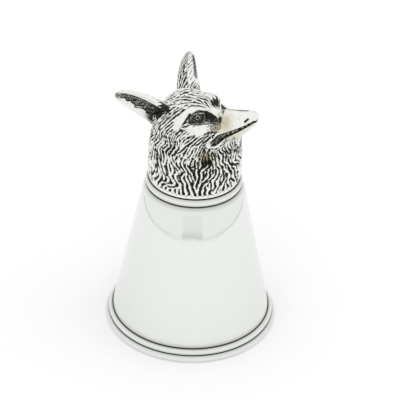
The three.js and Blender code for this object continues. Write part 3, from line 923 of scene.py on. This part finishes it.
def head_half(name, side, stands_for):
    """One half: columns from the crown (0) to the throat (HALF) on its side."""
    columns = (side * np.arange(HALF + 1)) % (2 * HALF)
    end = TIP + [0, side * GAP, 0]
    outer = beside_middle(worked[:, columns], side)
    dome = [mix(outer[-1], end, 1 - math.sqrt(1 - t * t)) + [0.62 * t, 0, 0] for t in DOME]
    outer = np.concatenate([outer, dome])
    inner = beside_middle(inside_of(columns), side)
    points = np.concatenate([outer.reshape(-1, 3), end[None], inner.reshape(-1, 3)])

    outer_number = np.arange(outer[..., 0].size).reshape(outer.shape[:2])
    tip = outer_number.size
    inner_number = tip + 1 + np.arange(inner[..., 0].size).reshape(inner.shape[:2])
    faces = grid_faces(outer_number)
    faces += [[int(a), int(b), tip] for a, b in zip(outer_number[-1], outer_number[-1, 1:])]
    faces += [face[::-1] for face in grid_faces(inner_number)]
    faces.append(inner_number[-1].tolist())
    faces += joint_faces(outer_number, inner_number, tip)

    paint = {}
    for layer, values in (("patina", black), ("tarnish", tarnish)):
        on_skin = values[:, columns]
        on_dome = np.repeat(on_skin[-1:], len(DOME), 0)
        plain = np.zeros(1 + inner_number.size)
        paint[layer] = np.concatenate([on_skin.ravel(), on_dome.ravel(), plain])
    build(name, to_part(points), faces, "oxidised_silver", stands_for, SHARP_CHASED, **paint)


for word, side in (("left", 1), ("right", -1)):
    head_half("fox_head_" + word, side, ["head_" + word + "_half"])

# %% [markdown]
# Each ear is a casting of its own, soldered on: a leaf bent round its length, with hair chased
# on its back, a black hollow in front and a bright rim. Its section is a crescent: an arc whose
# half angle narrows towards the tip, with a wall that thins to its edges.

# %% Shape of an ear
EAR_ROWS, EAR_COLS = 150, 110
EAR_LENGTH = 22.9
EAR_HALF = 6.4  # half its width
EAR_WALL = 1.3
EAR_ROOT = 4.0  # how far the leaf runs on into the skull
EAR_BOW = 0.8  # how far it bows backwards
EAR_PLACE = 0.424, math.radians(47.3)  # share of the head and angle from the crown
EAR_BACK, EAR_ASIDE = math.radians(45.6), math.radians(45.0)  # its lean
EAR_TURN = math.radians(35)  # of the hollow, from the front to the side
EAR_SPREAD = math.radians(103)  # half angle of the arc at its root


def leaf(side, s, q, thickness):
    """Points of an ear at share s from root to tip and q from edge to edge, -1 to 1: an arc of
    radius half / sin(spread) across, less the wall's thickness, bowed backwards by sin(pi s)."""
    length = unit(np.array([-math.tan(EAR_BACK), math.tan(EAR_ASIDE), 1.0]))
    face = np.array([0.84, 0.55, 0.0])
    face = unit(face - (face @ length) * length)
    face = face * math.cos(EAR_TURN) + np.cross(length, face) * math.sin(EAR_TURN)
    width = np.cross(length, face)
    half = np.maximum(EAR_HALF * np.sqrt(1 - s**4) * (1 - 0.1 * s), 0.25)
    spread = EAR_SPREAD * (1 - 0.25 * s)
    radius = half / np.sin(spread)
    thin = np.sqrt(np.clip(1 - q**4, 0, 1)) * np.minimum(1, 1.5 * np.sqrt(1 - s) + 0.2)
    bent = radius - thickness * thin
    x = bent * np.sin(spread * q)
    y = radius * np.cos(spread) - bent * np.cos(spread * q) - EAR_BOW * np.sin(np.pi * s)
    centre = skin(*EAR_PLACE) + (s * (EAR_LENGTH + EAR_ROOT) - EAR_ROOT)[..., None] * length
    points = centre + x[..., None] * width + y[..., None] * face
    points[..., 1] *= side
    return points


def ear_grid(side):
    """Points of a closed leaf with their s and q, and 1 where they are in front: rows run to the
    tip, columns over the back from q = 1 to -1 and on over the front."""
    s = np.sin(np.linspace(0, 0.985 * math.pi / 2, EAR_ROWS))[:, None]
    q_back = np.sin(np.linspace(math.pi / 2, -math.pi / 2, EAR_COLS + 1))[None]
    q_front = -q_back[:, 1:-1]
    back_skin = leaf(side, *np.broadcast_arrays(s, q_back), 0.0)
    front_skin = leaf(side, *np.broadcast_arrays(s, q_front), EAR_WALL)
    s, q = np.broadcast_arrays(s, np.concatenate([q_back, q_front], 1))
    in_front = (np.arange(q.shape[1]) > EAR_COLS) + 0 * q
    return np.concatenate([back_skin, front_skin], 1), s, q, in_front


def outward(points):
    """Directions out of a closed grid: across both its slopes, away from each row's middle."""
    out = unit(np.cross(*slopes(points)))
    from_middle = points - points.mean(1, keepdims=True)
    return out * np.sign((out * from_middle).sum(-1).mean())


print("root of the left ear at", skin(*EAR_PLACE).round(1).tolist(), "mm")

# %% [markdown]
# The back has hair in strokes that spread from the middle, a smooth border and, near it, a dark
# slot. The hollow in front is black, with a flap of hair on one edge and a bright rim. On the
# real cup the left ear's hair is finer and darker than the right one's, and its slot is wider.

# %% Ears
EAR_LOOKS = {
    # side: strokes on the back, half width of the slot, black of the back and how much the hair
    # changes it, black on the border, black at the root
    1: (0.95, 0.14, 0.59, 0.38, 0.9, 0.5),
    -1: (1.15, 0.03, 0.5, 0.42, 0.35, 0.85),
}


def chase(points, s, q, in_front, looks):
    """Lift in millimetres and black of every point of an ear, from hair combed along it."""
    stroke, slot_half, shade, shade_swing, border_shade, root_shade = looks
    on_back = 1 - in_front
    per_row, per_column = slopes(points)
    ahead = unit(per_row)
    beside = unit(per_column - (per_column * ahead).sum(-1, keepdims=True) * ahead)
    splay = np.where(in_front > 0, 0.3, -0.62) * np.sin(math.pi / 2 * within(1.6 * q))
    lie = unit(ahead * np.cos(splay)[..., None] + beside * np.sin(splay)[..., None])
    hair = comb(points, lie, np.where(in_front > 0, 0.9, stroke), 41, reach=1.3)

    tuft = 0.15 * np.abs(np.sin(19 * s + 1.2 * np.sin(7 * s))) * ramp(0.97, 0.8, s)
    tuft += 0.1 * ramp(0.6, 0.95, s) + 0.02 * hair
    flap = ramp(-0.05, 0.05, q - 0.74 + tuft)
    rim = ramp(0.02, -0.02, q + 0.93)
    tip = ramp(0.84, 0.9, s + 0.01 * hair)
    concha = in_front * (1 - np.maximum.reduce([flap, rim, tip]))
    border = on_back * ramp(-0.44, -0.6, q + 0.05 * hair)
    back_hair = on_back * (1 - border) * ramp(0.97, 0.9, q)
    slot = on_back * ramp(slot_half, 0.4 * slot_half, np.abs(q + 0.88))
    slot *= ramp(0.3, 0.45, s) * ramp(0.95, 0.85, s)
    root = on_back * ramp(0.36, 0.26, s + 0.03 * hair) * ramp(-0.5, -0.7, q)

    lift = 0.17 * back_hair * np.clip(hair, -1.2, 1.1) + 0.08 * concha * np.clip(hair, -1.2, 1.2)
    lift += 0.22 * in_front * flap * np.clip(1 - (q - 0.7) * 2, 0, 1)
    lift -= 0.25 * slot + 0.15 * concha
    few = border_shade * (np.clip(0.16 - 0.36 * hair, 0, 1) + 0.3 * ramp(0.4, 0.2, s))
    patina = np.maximum.reduce([
        back_hair * np.clip(shade - shade_swing * hair, 0, 1),
        concha * (0.67 - 0.1 * ramp(0.5, 1.2, hair)),
        0.62 * slot,
        few * np.maximum(border * (q > -0.8), in_front * flap),
        root_shade * root,
    ])
    return lift, patina


def ear(name, side, stands_for):
    """One ear: its chased grid, closed by a fan of faces at the tip and one at the root."""
    points, s, q, in_front = ear_grid(side)
    lift, patina = chase(points, s, q, in_front, EAR_LOOKS[side])
    points = points + outward(points) * lift[..., None]
    number = np.arange(s.size).reshape(s.shape)
    faces = grid_faces(number, wrap=True)
    faces += fan_faces(number[-1], s.size) + fan_faces(number[0][::-1], s.size + 1)
    points = np.concatenate([points.reshape(-1, 3), [points[-1].mean(0), points[0].mean(0)]])
    patina = np.concatenate([patina.ravel(), [0, 0.5]])
    build(name, to_part(points), faces, "oxidised_silver", stands_for, SHARP_CHASED,
          patina=patina, tarnish=0 * patina)


ear("fox_ear_left", 1, ["ear_left"])
ear("fox_ear_right", -1, ["ear_right"])

# %% [markdown]
# A finish is a small network of nodes round Blender's own shader. They could be added one by
# one, but a few helpers that say what each node does keep the two finishes readable.

# %% Nodes
def fill(tree, node, inputs):
    """Give a node its inputs by name: a socket is linked, anything else is set as a value."""
    for name, value in inputs.items():
        if isinstance(value, bpy.types.NodeSocket):
            tree.links.new(value, node.inputs[name])
        else:
            node.inputs[name].default_value = value


def add(tree, kind, output, inputs, **settings):
    """A new node with its settings and inputs. Gives back the output that is asked for."""
    node = tree.nodes.new("ShaderNode" + kind)
    for setting, value in settings.items():
        setattr(node, setting, value)
    fill(tree, node, inputs)
    return node.outputs[output]


def new_material(name):
    """A material with its node tree and its shader."""
    material = bpy.data.materials.new(name)
    material.use_nodes = True
    return material, material.node_tree, material.node_tree.nodes["Principled BSDF"]


def painted(tree, layer):
    """A value that was painted on the points."""
    return add(tree, "Attribute", "Fac", {}, attribute_name=layer)


def blend(tree, share, start, end):
    """A colour between two."""
    inputs = {"Factor": share, "A": start, "B": end}
    return add(tree, "Mix", "Result", inputs, data_type="RGBA")


def noise(tree, place, scale, detail):
    """Clouds from 0 to 1, about scale of them per metre."""
    return add(tree, "TexNoise", "Fac", {"Vector": place, "Scale": scale, "Detail": detail})


def spread(tree, value, low, high):
    """A value from 0 to 1 carried over to low to high."""
    return add(tree, "MapRange", "Result", {"Value": value, "To Min": low, "To Max": high})


def bump(tree, height, strength):
    """Surface directions tilted by a height of up to a tenth of a millimetre."""
    inputs = {"Height": height, "Strength": strength, "Distance": 0.0001}
    return add(tree, "Bump", "Normal", inputs)


# %% [markdown]
# Two finishes cover everything. Polished silver is a plain metal with a faint spun grain. Chased
# silver reads the painted values: black oxide, with painted shade in a few places, lies where the
# first painted value is 1, and a brown bloom, which under the jaw is painted shade, where the
# second is. Image textures could carry them, but painted points need no unwrapping.

# %% Finishes
MIRROR = (0.795, 0.815, 0.79, 1)
BRIGHT = (0.87, 0.877, 0.838, 1)
BROWN = (0.52, 0.46, 0.31, 1)
OXIDE = (0.03, 0.03, 0.028, 1)
OXIDE_FROM, OXIDE_TO = 0.31, 0.69  # painted black below is bright metal, above is full oxide


def polished():
    """Spun silver: bright, nearly mirror-smooth, with hairlines round the axis."""
    material, tree, shader = new_material("polished_silver")
    place = add(tree, "TexCoord", "Object", {})
    stretched = add(tree, "Mapping", "Vector", {"Vector": place, "Scale": (60, 60, 2600)})
    hairlines = noise(tree, stretched, 1.0, 3.0)
    clouds = noise(tree, place, 45.0, 2.0)
    fill(tree, shader, {
        "Base Color": blend(tree, painted(tree, "patina"), MIRROR, OXIDE),
        "Roughness": spread(tree, clouds, 0.025, 0.05),
        "Normal": bump(tree, hairlines, 0.02),
        "Metallic": 1.0,
    })
    return material


def chased():
    """Cast and chased silver: bright ridges, black cuts, brown bloom, painted shade, fine tool
    marks.
    """
    material, tree, shader = new_material("chased_silver")
    place = add(tree, "TexCoord", "Object", {})
    patina, tarnish = painted(tree, "patina"), painted(tree, "tarnish")
    specks = noise(tree, place, 1400.0, 3.0)
    uneven = add(tree, "Math", 0, {0: specks, 1: 0.5}, operation="SUBTRACT")
    uneven = add(tree, "Math", 0, {0: uneven, 1: 0.7, 2: patina}, operation="MULTIPLY_ADD")
    limits = {"Value": uneven, "From Min": OXIDE_FROM, "From Max": OXIDE_TO}
    cover = add(tree, "MapRange", "Result", limits)
    fill(tree, shader, {
        "Base Color": blend(tree, cover, blend(tree, tarnish, BRIGHT, BROWN), OXIDE),
        "Roughness": spread(tree, cover, 0.2, 0.5),
        "Normal": bump(tree, noise(tree, place, 2400.0, 2.0), 0.12),
        "Metallic": 1.0,
    })
    return material


finish = {"polished_silver": polished(), "oxidised_silver": chased()}
for piece in bpy.context.scene.objects:
    if piece.type == "MESH" and piece.name not in frame["nodes"]:
        smooth = piece.name.startswith(("cup", "wire", "collar"))
        piece.data.materials.append(finish["polished_silver" if smooth else "oxidised_silver"])
for name, node in frame["nodes"].items():
    carved = name.startswith(("head", "ear"))
    node.data.materials.clear()
    node.data.materials.append(finish["oxidised_silver" if carved else "polished_silver"])
print("finishes:", ", ".join(material.name for material in finish.values()))

# %% [markdown]
# Silver shows its surroundings, so the stage matters more than the lamps: a pale floor and an
# even white tent, which the camera and the metal both see as plain white. A photo of a studio
# could light it too, but it would put a real room into every mirrored face.

# %% Floor and tent
WHITE = (1, 1, 1, 1)
PAPER = (0.96, 0.96, 0.96, 1)
FLOOR_HALF = 1200.0  # half its side

square = np.array([(-1, -1, 0), (1, -1, 0), (1, 1, 0), (-1, 1, 0)])
floor = surface("floor", FLOOR_HALF * square, [(0, 1, 2, 3)])
paper, tree, shader = new_material("paper")
fill(tree, shader, {"Base Color": PAPER, "Roughness": 0.9, "Specular IOR Level": 0.0})
floor.data.materials.append(paper)

world = bpy.data.worlds.new("tent")
bpy.context.scene.world = world
world.use_nodes = True
tent = world.node_tree.nodes["Background"]
fill(world.node_tree, tent, {"Color": WHITE, "Strength": 1.0})
print("floor", 2 * FLOOR_HALF, "mm wide, paper of", PAPER[0])

# %% [markdown]
# Two large soft lamps beside the camera make the cup throw a faint shadow, which the white tent
# alone would hardly do. Mirrored rays don't see them, as the photo shows no lamp in the silver.

# %% Lamps
LAMP_SIZE = 1.3  # metres
LOOK_AT = Vector((0, 0, 0.06))


def lamp(name, position, power):
    """A soft square lamp that points at the middle of the cup."""
    data = bpy.data.lights.new(name, "AREA")
    data.size = LAMP_SIZE
    data.energy = power
    light = put(name, data)
    light.location = position
    light.rotation_euler = (LOOK_AT - Vector(position)).to_track_quat("-Z", "Y").to_euler()
    light.visible_glossy = False
    print(name, "lamp of", power, "watts")


lamp("key", (-0.9, -0.5, 1.1), 2.1)
lamp("fill", (0.8, -0.9, 0.9), 1.35)

# %% [markdown]
# The photograph's cone mirrors the end of the table as a thin dark arc, with white beyond it and
# the grey shape of the camera in its middle. Real furniture would show in other views, so a flat
# ring on the floor, which only mirrored rays can see, carries those tones.

# %% Painted reflection in the silver
RING_TURNS = 360
RING_HEIGHT = 0.4  # above the floor
EDGE_TONE = 0.62

bearing = np.linspace(-math.pi, math.pi, RING_TURNS, endpoint=False)[None]  # 0 towards the camera
table_end = 312 - 104 * (1 - np.cos(bearing)) ** 0.72
beyond = np.array([0, 3.0, 3.2, 14, 40, 120, 900])[:, None]
radius = table_end + beyond
heading = bearing + SWING - math.pi / 2
ring = np.stack([radius * np.cos(heading), radius * np.sin(heading), RING_HEIGHT + 0 * radius], -1)
camera_shape = ramp(math.radians(19.5), math.radians(17.8), np.abs(bearing))
shape_tone = np.interp(beyond, [3, 14, 45], [EDGE_TONE, 0.84, 0.95])
tone = np.where(beyond < 3.1, EDGE_TONE, mix(1.0, shape_tone, camera_shape))

number = np.arange(tone.size).reshape(tone.shape)
painted_reflection_ring = surface("painted_reflection_ring", ring.reshape(-1, 3), grid_faces(number, wrap=True))
for kind in ("camera", "diffuse", "transmission", "volume_scatter", "shadow"):
    setattr(painted_reflection_ring, "visible_" + kind, False)
tones = painted_reflection_ring.data.attributes.new("tone", "FLOAT", "POINT").data
tones.foreach_set("value", tone.ravel().astype(np.float32))
# the ring gives off its tones as light though it is no lamp: a painted reflection
glow, tree, shader = new_material("painted_reflection_ring")
fill(tree, shader, {
    "Base Color": (0, 0, 0, 1),
    "Specular IOR Level": 0.0,
    "Emission Color": WHITE,
    "Emission Strength": painted(tree, "tone"),
})
painted_reflection_ring.data.materials.append(glow)
print("end of the table from", table_end.min().round(), "to", table_end.max().round(), "mm away")

# %% Finish
bpy.context.scene.view_settings.view_transform = "Standard"
